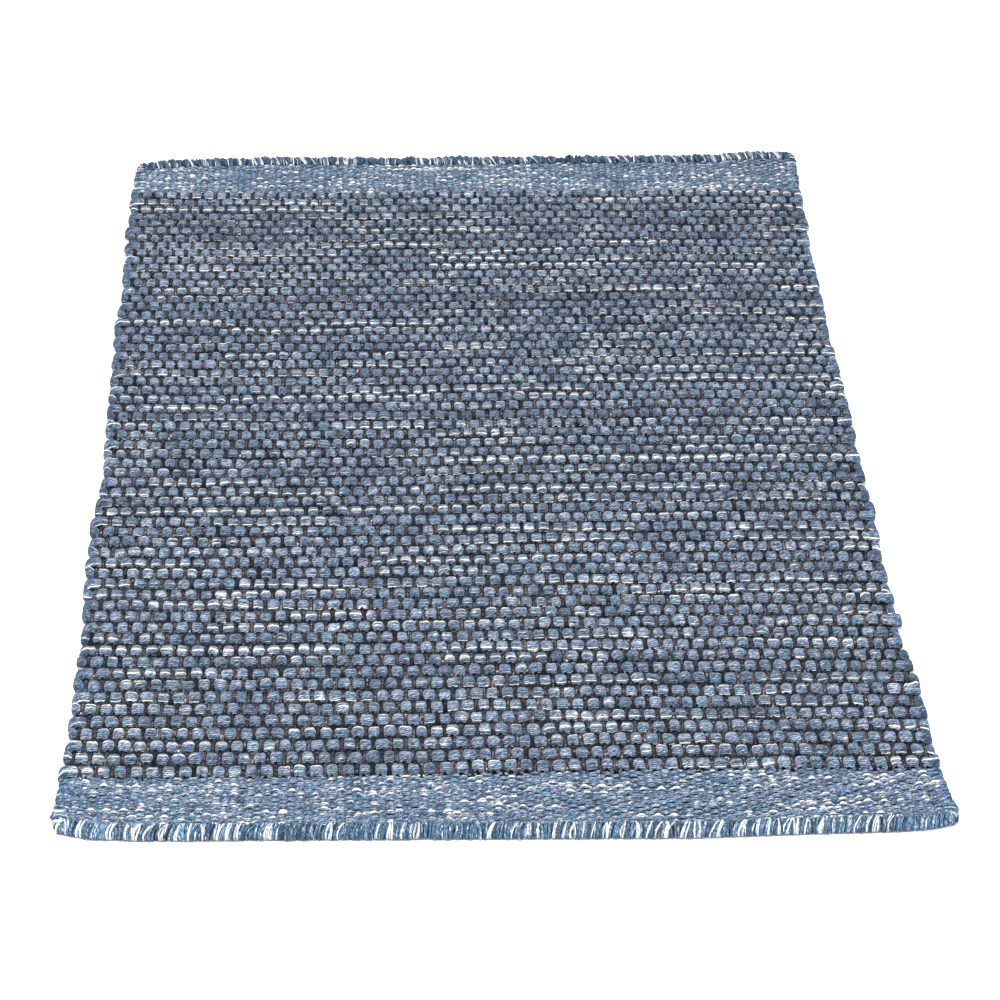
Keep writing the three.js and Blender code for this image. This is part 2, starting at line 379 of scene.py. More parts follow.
class Shader:
    """A short way to write a node material: each method adds a node and returns its output."""

    def __init__(self, name):
        self.material = bpy.data.materials.new(name)
        self.material.use_nodes = True
        self.tree = self.material.node_tree
        self.surface = self.tree.nodes["Principled BSDF"]

    def node(self, kind, **settings):
        made = self.tree.nodes.new("ShaderNode" + kind)
        for key, value in settings.items():
            setattr(made, key, value)
        return made

    def put(self, socket, value):
        if isinstance(value, bpy.types.NodeSocket):
            self.tree.links.new(value, socket)
        else:
            socket.default_value = value

    def put_all(self, sockets, values):
        for socket, value in zip(sockets, values):
            self.put(socket, value)

    def math(self, operation, first, second=0.0, third=0.0):
        made = self.node("Math", operation=operation)
        self.put_all(made.inputs, (first, second, third))
        return made.outputs[0]

    def times(self, first, second):
        return self.math("MULTIPLY", first, second)

    def plus(self, first, second):
        return self.math("ADD", first, second)

    def minus(self, first, second):
        return self.math("SUBTRACT", first, second)

    def vector(self, x, y, z):
        made = self.node("CombineXYZ")
        self.put_all(made.inputs, (x, y, z))
        return made.outputs[0]

    def split(self, vector):
        made = self.node("SeparateXYZ")
        self.put(made.inputs[0], vector)
        return made.outputs

    def noise(self, vector, detail=2.0, roughness=0.5):
        made = self.node("TexNoise")
        self.put(made.inputs["Vector"], vector)
        set_inputs(made, {"Scale": 1.0, "Detail": detail, "Roughness": roughness})
        return made.outputs["Fac"]

    def spread(self, value, low, high, to_low=0.0, to_high=1.0):
        made = self.node("MapRange")
        names = ("Value", "From Min", "From Max", "To Min", "To Max")
        self.put_all([made.inputs[key] for key in names], (value, low, high, to_low, to_high))
        return made.outputs[0]

    def ramp(self, value, stops):
        made = self.node("ValToRGB")
        self.put(made.inputs[0], value)
        elements = made.color_ramp.elements
        while len(elements) < len(stops):
            elements.new(0.5)
        for element, (place, colour) in zip(elements, stops):
            element.position = place
            element.color = (*colour, 1.0)
        return made.outputs[0]

    def mix(self, factor, first, second, blend="MIX"):
        made = self.node("Mix", data_type="RGBA", blend_type=blend)
        self.put(made.inputs[0], factor)
        for socket, value in ((made.inputs[6], first), (made.inputs[7], second)):
            self.put(socket, (*value, 1.0) if isinstance(value, tuple) and len(value) == 3 else value)
        return made.outputs[2]

    def tinted(self, colour, tint):
        return self.mix(1.0, colour, tint, "MULTIPLY")

    def attribute(self, name):
        return self.node("Attribute", attribute_name=name).outputs["Vector"]

    def weave(self):
        return self.split(self.node("UVMap", uv_map="weave").outputs[0])

    def finish(self, colour, height, depth_mm, sheen):
        self.put(self.surface.inputs["Base Color"], colour)
        set_inputs(self.surface, {"Roughness": 0.95, "Specular IOR Level": 0.15, "Sheen Weight": sheen,
                                  "Sheen Roughness": 0.6})
        bump = self.node("Bump")
        set_inputs(bump, {"Strength": 1.0, "Distance": depth_mm * MM})
        self.put(bump.inputs["Height"], height)
        self.put(self.surface.inputs["Normal"], bump.outputs[0])
        return self.material


# Colours of the wool: pale strands, the palest fibres of a dyed strand, a darker and bluer tint painted on
# the rows' rounded ends as painted shade, and tints of the dye.
CREAM = (0.83, 0.80, 0.76)
CREAM_SHADOW = tuple(0.66 * channel for channel in CREAM)
PALE_FIBRE = (0.64, 0.635, 0.63)
END_PAINTED_SHADE_TINT = (0.37, 0.50, 0.61)
FIBRE_TINTS = [(0.0, (0.58, 0.99, 1.14)), (0.5, (1.0, 1.0, 1.0)), (1.0, (1.42, 1.00, 0.88))]

# Light that comes back from deep between the fibres is bluer: the power of the shade in each channel.
DEPTH_POWERS = (1.20, 1.03, 0.89)

# The colours along a strand, by place in the noise of its tones.
FIELD_TONES = [
    (0.00, (0.039, 0.060, 0.107)), (0.18, (0.079, 0.120, 0.192)), (0.34, (0.126, 0.182, 0.276)),
    (0.44, (0.085, 0.195, 0.241)), (0.54, (0.174, 0.172, 0.295)), (0.66, (0.167, 0.240, 0.310)),
    (0.78, (0.217, 0.285, 0.388)), (0.90, (0.333, 0.365, 0.408)), (1.00, (0.555, 0.535, 0.511)),
]
BAND_TONES = [
    (0.00, (0.050, 0.090, 0.155)), (0.28, (0.100, 0.162, 0.255)), (0.42, (0.105, 0.215, 0.285)),
    (0.56, (0.180, 0.195, 0.320)), (0.68, (0.180, 0.240, 0.325)), (0.82, (0.260, 0.320, 0.390)),
    (1.00, (0.550, 0.540, 0.525)),
]
BINDING_TONES = [
    (0.00, (0.012, 0.036, 0.080)), (0.30, (0.036, 0.088, 0.165)), (0.46, (0.040, 0.125, 0.180)),
    (0.60, (0.062, 0.115, 0.215)), (0.76, (0.115, 0.190, 0.285)), (1.00, (0.320, 0.395, 0.465)),
]
PALE_TONES = [(0.0, (0.58, 0.58, 0.57)), (1.0, (0.79, 0.785, 0.775))]
WARP_TONES = [
    (0.00, (0.003, 0.004, 0.009)), (0.24, (0.011, 0.014, 0.027)), (0.36, (0.088, 0.040, 0.046)),
    (0.44, (0.022, 0.024, 0.038)), (0.54, (0.055, 0.080, 0.052)), (0.64, (0.034, 0.036, 0.050)),
    (0.76, (0.125, 0.118, 0.128)), (0.88, (0.060, 0.066, 0.105)), (1.00, (0.340, 0.325, 0.335)),
]
FIBRE_TONES = [(0.0, (0.16, 0.24, 0.34)), (1.0, (0.70, 0.71, 0.72))]


def yarn_material(name, strands, tones, tone_length=30.0, ply_length=3.2, depth_mm=0.9,
                  crease_shade=0.25, fuzz=0.8, pale_fibres=1.0, sheen=0.08):
    """Wool yarn laid in strands round a tube. Each strand keeps a tone that drifts along its length,
    and two of them turn pale where the mesh says so."""
    s = Shader(name)
    along, around, _ = s.weave()
    seed, twist, shade = s.split(s.attribute("thread"))
    first_pale, second_pale, deep = s.split(s.attribute("pale"))

    turned = s.plus(s.times(around, float(strands)), twist)
    place = s.math("FLOORED_MODULO", turned, float(strands))
    strand = s.math("FLOOR", place)
    within = s.minus(place, strand)
    off_middle = s.math("ABSOLUTE", s.minus(s.times(within, 2.0), 1.0))
    crown = s.minus(1.0, s.math("POWER", off_middle, 2.5))

    drift = s.vector(s.times(along, 1 / tone_length), s.times(strand, 3.7), seed)
    tone = s.noise(drift, detail=3.0, roughness=0.6)
    colour = s.ramp(s.spread(tone, 0.33, 0.67), tones)

    # Fibres of one strand took the dye a little redder or bluer, and the rows' rounded ends are tinted
    # darker and bluer as painted shade.
    dye = s.noise(s.vector(s.times(along, 0.8), s.times(turned, 1.1), s.plus(seed, 9.0)))
    colour = s.tinted(colour, s.ramp(s.spread(dye, 0.34, 0.66), FIBRE_TINTS))
    colour = s.mix(deep, colour, s.tinted(colour, END_PAINTED_SHADE_TINT))

    # The plies of a strand wind round it, and its fibres run along it.
    wind = s.plus(s.times(along, 2 * math.pi / ply_length), s.times(within, 3.6))
    ply = s.math("MULTIPLY_ADD", s.math("SINE", s.plus(wind, s.times(strand, 2.1))), 0.5, 0.5)
    slanted = s.math("MULTIPLY_ADD", along, 0.22, turned)
    fibre = s.noise(s.vector(s.times(along, 0.32), s.times(slanted, 2.0), seed), detail=3.0)
    crossed = s.math("MULTIPLY_ADD", along, -0.45, turned)
    speck = s.noise(s.vector(s.times(along, 0.7), s.times(crossed, 2.0), seed), detail=1.0)

    pale_tone = s.mix(s.spread(fibre, 0.35, 0.6), CREAM_SHADOW, CREAM)
    is_first = s.times(s.math("COMPARE", strand, 1.0, 0.2), first_pale)
    is_second = s.times(s.math("COMPARE", strand, float(strands // 2 + 1), 0.2), second_pale)
    whiteness = s.math("MINIMUM", s.plus(is_first, is_second), 1.0)
    colour = s.mix(whiteness, colour, pale_tone)

    # Light and dark fibres stand out less on the pale strands.
    grain = s.times(s.spread(fibre, 0.34, 0.66, 1.0 - fuzz * 0.6, 1.0 + fuzz * 0.7),
                    s.spread(speck, 0.32, 0.68, 1.0 - fuzz * 0.28, 1.0 + fuzz * 0.30))
    calm = s.times(whiteness, 0.65)
    grain = s.plus(s.times(grain, s.minus(1.0, calm)), calm)
    colour = s.mix(s.spread(grain, 1.25, 2.8, 0.0, 0.45 * pale_fibres), colour, PALE_FIBRE)
    grain = s.math("MINIMUM", grain, 1.45)
    # Painted shade: the creases between strands and the ply's winding are darkened, and the mesh's shade
    # value lays on the painted shade of the rows as well as random tone.
    shading = s.times(s.spread(crown, 0.0, 0.75, crease_shade, 1.0), shade)
    shading = s.times(shading, grain)
    shading = s.times(shading, s.spread(ply, 0.0, 1.0, 0.86, 1.06))
    depths = s.node("CombineColor")
    s.put_all(depths.inputs, [s.math("POWER", shading, power) for power in DEPTH_POWERS])
    colour = s.tinted(colour, depths.outputs[0])

    height = s.math("MULTIPLY_ADD", crown, 0.62, s.times(ply, 0.16))
    height = s.math("MULTIPLY_ADD", fibre, 0.40, height)
    height = s.math("MULTIPLY_ADD", whiteness, 0.22, height)
    return s.finish(colour, height, depth_mm, sheen)


# What the field's rows and the bands' picks share

def nub_height(d, reach, power):
    """The height of a yarn's top above its lowest, d warps away from the middle of its nub."""
    return np.sqrt(np.clip(1 - (np.abs(d) / reach) ** power, 0, 1))


def nub_plan(d):
    """How wide a nub is along the kilim's length, d warps from its middle, as a share of its widest."""
    round_off = (1 - np.minimum(d / NUB_REACH, 1.0) ** PLAN_POWER) ** (1 / PLAN_POWER)
    return np.maximum(PLAN_NARROWEST, round_off)


def ring_places(over_even, steps):
    """The warps, whole and between two, at which a weft that nubs over every second warp has rings."""
    starts = np.arange(WARPS - 1)
    leaving = np.concatenate([[0.0], steps])
    arriving = np.concatenate([[0.0], 1 - steps[::-1]])
    at_nub = (starts % 2 == 0) == over_even
    warp = (starts[:, None] + np.where(at_nub[:, None], leaving, arriving)).ravel()
    return np.append(warp, WARPS - 1)


def off_nub(warp, over_even):
    """How far each place is from the middle of the nearest nub on top, in warp spacings."""
    near_even = np.abs((warp + 1) % 2 - 1)
    return near_even if over_even else 1 - near_even


def nub_differences(rng, warp, varies):
    """By name, a random value of each nub, and between two nubs a mean of theirs."""
    nubs = np.arange(WARPS)
    return {key: np.interp(warp, nubs, rng.normal(0, amount, WARPS)) for key, amount in varies.items()}


def warp_x(warp, y, wander):
    """Where a warp, whole or between two, stands at y, with its small wander to the sides."""
    left = left_edge(y) + WARP_MARGIN
    right = right_edge(y) - WARP_MARGIN
    return left + (right - left) * warp / (WARPS - 1) + wander


def with_ends(inner, end_values, left=1.0, right=1.0):
    """Values along a row with those of its rounded ends, which are given from the warp out."""
    return np.concatenate([end_values[::-1] * left, inner, end_values * right])


def pale_run(rng, share, runs, chance):
    """Along a row, the stretches where a strand is pale: 0 or 1 at knots, with soft ends."""
    state = (rng.random(runs) < chance).astype(float)
    hold = smooth_steps(share, state * 2 - 1)
    return np.clip(hold * 6 + 0.5, 0, 1)


def pale_values(rng, share, pale_runs, ends):
    """How pale the two strands are along a row, and where its rounded ends take a darker tint of painted
    shade.
    """
    deep = with_ends(np.zeros(len(share) - 2 * ends), np.ones(ends))
    return np.stack([*(pale_run(rng, share, *runs) for runs in pale_runs), deep], -1)


def yarn_turn(rng, strands, share, knots):
    """How far the strands have turned round the yarn, in strands."""
    turn = rng.uniform(0, strands) + rng.choice([-1, 1]) * rng.uniform(2, 9) * share
    return turn + smooth_steps(share, rng.normal(0, 0.9, knots))


def bundle(x, y, top, bottom, top_half, bottom_half, middle, upper_points):
    """The points (rings, sides, 3) of a bundle of weft, from its right side over the top."""
    over = np.pi * (np.arange(upper_points) + 0.5) / upper_points
    under = np.pi + np.pi * (np.arange(LOWER_POINTS) + 0.5) / LOWER_POINTS
    angle = np.concatenate([over, under])
    across = np.sign(np.cos(angle)) * np.abs(np.cos(angle)) ** SECTION_POWER
    up = np.sign(np.sin(angle)) * np.abs(np.sin(angle)) ** SECTION_POWER
    is_top = angle < np.pi
    half = np.where(is_top, top_half[:, None], bottom_half[:, None])
    rise = np.where(is_top, (top - middle)[:, None], (middle - bottom)[:, None])
    return stacked(x[:, None], y[:, None] + across * half, middle + up * rise)


# The field's weft rows

def weft_row(row, rng):
    """One weft row as rings: points (rings, sides, 3), distance along it, thread and pale values."""
    over_even = row % 2 == 0
    warp = ring_places(over_even, NUB_STEPS)
    y = row_line(row + 0.5)
    pitch = row_line(row + 1.0) - row_line(float(row))

    differs = nub_differences(rng, warp, WEFT_VARIES)
    from_nub = off_nub(warp, over_even)
    rise = nub_height(from_nub / (1 + differs["wide"]), NUB_REACH, NUB_POWER)
    fall = nub_height(1 - from_nub, NUB_REACH, NUB_POWER)
    top = WEFT_VALLEY + (by_row(CREST_RISE, row) + differs["crest"]) * rise
    bottom = THICKNESS - WEFT_VALLEY - UNDER_RISE * fall
    half = by_row(ROW_HALF, row) * pitch
    top_half = half * (1 + differs["fat"]) * nub_plan(from_nub)
    bottom_half = half * nub_plan(1 - from_nub)

    # Beyond the outer warps the bundle ends in a rounded loop.
    left, right = left_edge(y), right_edge(y)
    edge = OVER_EDGE if over_even else UNDER_EDGE
    loops = rng.normal(1, 0.12, 2)
    wander = smooth_steps(warp / (WARPS - 1), rng.normal(0, 0.25, WARPS)) + differs["x"]
    x = warp_x(warp, y, wander)
    out = edge["out"] + rng.normal(0, 0.6, 2) + LONG_LOOP_OUT * (rng.random(2) < LONG_LOOPS)
    x = np.concatenate([left - out[0] + EDGE_RINGS[::-1], x, right + out[1] - EDGE_RINGS])
    top = with_ends(top, edge["top"])
    bottom = np.maximum(with_ends(bottom, edge["bottom"]), 0.0)
    top_half = with_ends(top_half, edge["half"], *loops)
    bottom_half = with_ends(bottom_half, edge["half"])

    share = np.clip(across_share(x, y), 0, 1)
    wave = smooth_steps(share, rng.normal(0, 0.5, 34))
    ends = len(EDGE_RINGS)
    wave[ends:-ends] += differs["y"]

    # At the right edge an even row turns back into the next row, and at the left into the one before.
    turn_way = 1 if over_even else -1
    turns = rng.uniform(0.5, 1.25, 2)
    wave[-ends:] += turn_way * EDGE_TURN * turns[0]
    wave[:ends] -= turn_way * EDGE_TURN[::-1] * turns[1]
    points = bundle(x, y + bow(share) + wave, top, bottom, top_half, bottom_half, THICKNESS / 2,
                    FIELD_UPPER_POINTS)

    # Painted shade: the yarn is darker where it dips between its nubs.
    painted_dip_shade = with_ends(WEFT_DIP_PAINTED_SHADE[0] + WEFT_DIP_PAINTED_SHADE[1] * np.maximum(rise, fall), np.ones(ends))
    seed = rng.random() * 90
    turn = yarn_turn(rng, WEFT_STRANDS, share, 9)
    drift = smooth_steps(share, rng.normal(0, 0.15, 60))
    # Painted shade darkens the rows towards the back; the drift along the row and its own offset are random
    # tone.
    shade = (by_row(ROW_PAINTED_SHADE, row) + drift + rng.normal(0, 0.07)) * painted_dip_shade
    return points, x - x.min(), stacked(seed, turn, shade), pale_values(rng, share, WEFT_PALE_RUNS, ends)


def weft_mesh(name, rows, material):
    """One mesh of rows or picks, each given as points, distance, thread and pale values."""
    points, distance, thread, pale = (np.stack(values) for values in zip(*rows))
    return tube_mesh(name, points, distance, material, thread, pale)


def build_weft(material):
    rng = np.random.default_rng(SEED)
    rows = [weft_row(row, rng) for row in range(FIELD_ROWS)]
    return [weft_mesh(f"weft_shuttle_{k + 1}", rows[k::SHUTTLES], material) for k in range(SHUTTLES)]


# The warps, which show as dark bars between the nubs

def build_warps(material):
    rng = np.random.default_rng(SEED + 1)
    rows = np.arange(FIELD_ROWS)
    angle = np.array([15.0, 90.0, 165.0, 235.0, 305.0]) * math.pi / 180
    pieces = []
    for side, name in enumerate(("warps_even", "warps_odd")):
        warps = np.arange(side, WARPS, 2)
        rows_on_top = (rows + side) % 2 == 1
        inset = np.where(rows_on_top, RING_INSET_OVER, RING_INSET_UNDER)
        rings = rows[:, None] + inset[:, None] * [1, -1] + [0, 1]
        place = np.concatenate([[0.0], rings.ravel(), [FIELD_ROWS]])
        on_top = np.concatenate([[False], np.repeat(rows_on_top, 2), [False]])
        y = row_line(place)
        lift = np.where(on_top, WARP_LIFT, -WARP_LIFT) + rng.normal(0, 0.2, (len(warps), len(place)))
        wander = smooth_steps(place / FIELD_ROWS, rng.normal(0, 0.3, (len(warps), 60)))
        x = warp_x(warps[:, None], y[None, :], wander)
        width = WARP_WIDTH * (1 + rng.normal(0, 0.09, x.shape))
        centre_y = y[None, :] + bow(warps[:, None] / (WARPS - 1))
        z = THICKNESS / 2 + lift[..., None] + np.sin(angle) * WARP_HALF_HEIGHT
        points = stacked(x[..., None] + np.cos(angle) * width[..., None] / 2, centre_y[..., None], z)
        seed = rng.random(len(warps)) * 90
        turn = rng.uniform(0, WARP_STRANDS, len(warps))[:, None] + y[None, :] * 0.02
        # A warp's tone differs at random, and where it runs under the weft it is painted almost black as
        # painted shade.
        shade = np.clip(rng.normal(0.84, 0.40, x.shape), 0.22, 2.1) * np.where(on_top, 1.0, WARP_PAINTED_SHADE_UNDER)
        pieces.append(tube_mesh(name, points, y - y.min(), material, stacked(seed[:, None], turn, shade)))
    return pieces


# The fine weft bands at both ends

def mouth(end):
    """How far in from the end's outer line the cloth comes out of its binding."""
    return BINDINGS[end]["depth"] * BINDINGS[end]["reach"] + MOUTH_GAP


def rising(value, low, high):
    return ease(np.clip((value - low) / (high - low), 0, 1))


def band_y(end, share, fraction):
    """Where a share of the band's open length lies, from 0 at the binding to 1 at the field."""
    outward = BINDINGS[end]["outward"]
    field_y = (FIELD_FRONT_Y if end == "front" else FIELD_BACK_Y) - outward * BAND_OVERLAP
    line = end_line(end, share) - outward * mouth(end)
    return line * (1 - fraction) + (field_y + bow(share)) * fraction


def band_length(end):
    return abs(band_y(end, 0.5, 1.0) - band_y(end, 0.5, 0.0))


def band_level(end, distance):
    """The height of the band's middle and its thickness at a distance from the end's outer line. The
    band lifts and thins on its way into the binding."""
    binding = BINDINGS[end]
    ramp_end = mouth(end) + RAMP_LENGTH
    underside = (binding["wall"] + WALL_GAP) * (1 - rising(distance, mouth(end), ramp_end))
    grown = rising(distance, mouth(end) - 4, ramp_end)
    thickness = binding["cloth"] + (BAND_THICKNESS - binding["cloth"]) * grown
    return underside + thickness / 2, thickness


def band_pick(end, pick, rng):
    """One pick of fine weft as rings, in the same form as a weft row."""
    over_even = pick % 2 == 0
    warp = ring_places(over_even, BAND_NUB_STEPS)
    fraction = (pick + 0.5) / BAND_PICKS
    y_middle = band_y(end, 0.5, fraction)
    middle, thickness = band_level(end, mouth(end) + fraction * band_length(end))
    half_thick = thickness * 0.5
    pitch = band_length(end) / BAND_PICKS

    differs = nub_differences(rng, warp, BAND_VARIES)
    from_nub = off_nub(warp, over_even)
    rise = nub_height(from_nub, BAND_NUB_REACH, BAND_NUB_POWER)
    fall = nub_height(1 - from_nub, BAND_NUB_REACH, BAND_NUB_POWER)
    top = middle + half_thick * rise + differs["crest"] * rise
    bottom = middle - half_thick * fall
    top_half = pitch * (1 + differs["fat"]) * (PICK_HALF[0] + PICK_HALF[1] * rise)
    bottom_half = pitch * (PICK_HALF[0] + PICK_HALF[1] * fall)

    wander = smooth_steps(warp / (WARPS - 1), rng.normal(0, 0.4, WARPS)) + differs["x"]
    x = warp_x(warp, y_middle, wander)
    out = (OVER_PICK_OUT if over_even else UNDER_PICK_OUT) + rng.normal(0, 0.5, 2)
    left, right = left_edge(y_middle) - out[0], right_edge(y_middle) + out[1]
    x = np.concatenate([left + PICK_END_RINGS[::-1], x, right - PICK_END_RINGS])
    end_above, end_below = (1.0, PICK_END_FLAT) if over_even else (PICK_END_FLAT, 1.0)
    end_half = pitch * 1.05 * (PICK_END_HALF[0] + PICK_END_HALF[1] * PICK_END_FULL)
    top = with_ends(top, middle + half_thick * PICK_END_FULL * end_above)
    bottom = with_ends(bottom, middle - half_thick * PICK_END_FULL * end_below)
    top_half = with_ends(top_half, end_half)
    bottom_half = with_ends(bottom_half, end_half)

    share = np.clip(across_share(x, y_middle), 0, 1)
    y = band_y(end, share, fraction) + smooth_steps(share, rng.normal(0, 0.3, 40))
    ends = len(PICK_END_RINGS)
    y[ends:-ends] += differs["y"]
    points = bundle(x, y, top, np.maximum(bottom, 0), top_half, bottom_half, middle, BAND_UPPER_POINTS)

    # Painted shade: a pick is darker where it dips between its nubs, and the back band is darkened all over.
    painted_dip_shade = BAND_PAINTED_SHADE[end] * with_ends(BAND_DIP_PAINTED_SHADE[0] + BAND_DIP_PAINTED_SHADE[1] * np.maximum(rise, fall), np.ones(ends))
    turn = yarn_turn(rng, BAND_STRANDS, share, 14)
    shade = (1 + smooth_steps(share, rng.normal(0, 0.12, 60)) + rng.normal(0, 0.05)) * painted_dip_shade
    thread = stacked(rng.random() * 90, turn, shade)
    return points, x - x.min(), thread, pale_values(rng, share, BAND_PALE_RUNS, ends)


def build_band(end, material):
    rng = np.random.default_rng(SEED + (2 if end == "front" else 3))
    picks = [band_pick(end, pick, rng) for pick in range(BAND_PICKS)]
    return weft_mesh(f"{end}_band_weft", picks, material)


# The ground: the cloth's inner warps, closed between the weft's two faces and darkened as painted shade

def build_ground(material):
    stations = []
    for end, order in ("front", 1), ("back", -1):
        for fraction in np.linspace(0, 1, GROUND_STATIONS["band"])[::order]:
            middle, _ = band_level(end, mouth(end) + fraction * band_length(end))
            stations.append((end, fraction, middle))
        if end == "front":
            for row in np.linspace(0.5, FIELD_ROWS - 0.5, GROUND_STATIONS["field"]):
                stations.append(("field", row, THICKNESS / 2))
    columns = np.linspace(0, 1, GROUND_STATIONS["across"])
    rings = []
    for kind, place, height in stations:
        nominal = row_line(place) if kind == "field" else band_y(kind, 0.5, place)
        y = row_line(place) + bow(columns) if kind == "field" else band_y(kind, columns, place)
        width = right_edge(nominal) - left_edge(nominal) - 2 * GROUND_INSET
        x = left_edge(nominal) + GROUND_INSET + width * columns
        over, under = (stacked(x, y, height + lift) for lift in (GROUND_HALF, -GROUND_HALF))
        rings.append(np.concatenate([over[::-1], under]))
    points = np.stack(rings)[None]
    # The ground's wool is darkened as painted shade.
    thread = plain_thread(1, len(rings), GROUND_PAINTED_SHADE)
    distance = np.linspace(0, GROUND_LENGTH, len(rings))
    return tube_mesh("warp_ground", points, distance, material, thread)


# The overcast bindings

def yarn_way(end, lift, reach):
    """The way of one overcast yarn round the end: inset from the outer line, and height, at its rings."""
    binding = BINDINGS[end]
    inset = binding["depth"] * WAY_INSET + binding["yarn"] * WAY_INSET_RADIUS - lift * WAY_INSET_LIFT
    z = binding["height"] * WAY_HEIGHT + binding["yarn"] * WAY_HEIGHT_RADIUS + lift * WAY_HEIGHT_LIFT
    return inset * reach * binding["reach"], z


def yarn_tubes(end, stitches):
    """Overcast yarns as tubes: points (yarns, rings, sides, 3) and the distance along each."""
    angle = np.arange(YARN_SIDES) * 2 * math.pi / YARN_SIDES
    tubes = []
    for foot, outward, lift, lean, draw, sway, radius, reach in zip(*stitches):
        inset, z = yarn_way(end, lift, reach)
        z = np.maximum(z, radius)
        beside = np.array([outward[1], -outward[0]]) * BINDINGS[end]["outward"]
        aside = lean * (inset - BINDINGS[end]["depth"] * 0.4) + draw * HOLE_PULL + sway * SWAY
        place = foot + (-inset)[:, None] * outward + aside[:, None] * beside
        centre = np.column_stack([place, z])
        tangent = np.gradient(centre, axis=0)
        tangent /= np.linalg.norm(tangent, axis=1, keepdims=True)
        sideways = np.array([*beside, 0.0])
        sideways = sideways - tangent * (tangent @ sideways)[:, None]
        sideways /= np.linalg.norm(sideways, axis=1, keepdims=True)
        normal = np.cross(tangent, sideways)
        taper = np.ones(len(z))
        taper[[0, -1]] = YARN_ENDS
        ring = sideways[:, None] * np.cos(angle)[:, None] + normal[:, None] * np.sin(angle)[:, None]
        tubes.append(centre[:, None] + ring * (radius * taper)[:, None, None])
    points = np.stack(tubes)
    return points, np.linspace(0, YARN_LENGTH, points.shape[1])


def binding_span(end):
    """The binding's straight part, from its left to its right end."""
    y_middle = end_line(end, 0.5)
    return left_edge(y_middle) + 0.5 * CORNER_RADIUS, right_edge(y_middle) - 0.5 * CORNER_RADIUS


def straight_stitches(end, x, lift, lean, draw, sway, radius):
    share = np.clip(across_share(x, end_line(end, 0.5)), 0, 1)
    outward = np.broadcast_to([0.0, BINDINGS[end]["outward"]], (len(x), 2))
    feet = np.column_stack([x, end_line(end, share)])
    return [feet, outward, lift, lean, draw, sway, radius, np.ones(len(x))]


def corner_stitches(end, rng, radius, turns, lift):
    """The yarns that turn round both corners and climb a little way up the selvedges."""
    out = BINDINGS[end]["outward"]
    feet, outwards = [], []
    for side, edge, share in ((-1, left_edge, 0.0), (1, right_edge, 1.0)):
        line = end_line(end, share)
        corner = np.array([edge(line) - side * CORNER_RADIUS, line - out * CORNER_RADIUS])
        for turn in turns:
            angle = min(turn, 1.0) * math.pi / 2
            outward = np.array([side * math.sin(angle), out * math.cos(angle)])
            climb = max(turn - 1.0, 0.0) * CORNER_CLIMB / CORNER_CLIMB_TURN
            feet.append(corner + CORNER_RADIUS * outward - np.array([0.0, out * climb]))
            outwards.append(outward)
    count = len(feet)
    lean = rng.normal(0.1, 0.08, count)
    lift = rng.normal(lift, 0.3, count)
    draw = rng.normal(0, 0.3, count)
    sway = rng.normal(0, 0.3, count)
    radius = radius * rng.normal(1, 0.1, count)
    reach = rng.uniform(0.70, 0.86, count)
    return [np.array(feet), np.array(outwards), lift, lean, draw, sway, radius, reach]


def yarn_values(rng, shade, rings):
    """Seed, twist and shade for each yarn, the same all along it."""
    values = stacked(rng.random(len(shade)) * 90, rng.uniform(0, 3, len(shade)), shade)
    return np.repeat(values[:, None], rings, axis=1)


def build_stitches(end, edges, material, rng):
    """Stitches of a few blue strands that bulge together, between the given edges."""
    binding = BINDINGS[end]
    count = binding["stitches"]
    slots = (np.arange(STITCH_STRANDS) + 0.5) / STITCH_STRANDS
    x = (edges[:-1, None] + np.diff(edges)[:, None] * slots).ravel()
    x = x + rng.normal(0, 0.25, len(x))
    bulge = binding["bulge"] * (np.sin(math.pi * slots) - 0.4)
    lift = (bulge[None, :] + rng.normal(0, binding["uneven"], (count, 1))).ravel()
    lift = lift + rng.normal(0, 0.15, len(x))
    lean = np.repeat(STITCH_LEAN + rng.normal(0, 0.10, count), STITCH_STRANDS)
    lean = lean + rng.normal(0, 0.05, len(x))
    draw = (np.diff(edges)[:, None] * (slots - 0.5)).ravel() * STITCH_DRAW * -binding["outward"]
    sway = np.repeat(rng.normal(0, 0.4, count), STITCH_STRANDS) + rng.normal(0, 0.25, len(x))
    radius = binding["yarn"] * rng.normal(1, 0.12, len(x))
    straight = straight_stitches(end, x, lift, lean, draw, sway, radius)
    corners = corner_stitches(end, rng, binding["yarn"] * 1.15, CORNER_TURNS, -0.1)
    points, distance = yarn_tubes(end, [np.concatenate(pair) for pair in zip(straight, corners)])
    # Each yarn's tone differs at random, and the back binding's yarn is darkened as painted shade.
    shade = binding["shade"] * rng.normal(1.04, 0.32, len(points)).clip(0.3, 2)
    thread = yarn_values(rng, shade, points.shape[1])
    return tube_mesh(f"{end}_binding_yarn", points, distance, material, thread, bake_columns=16)


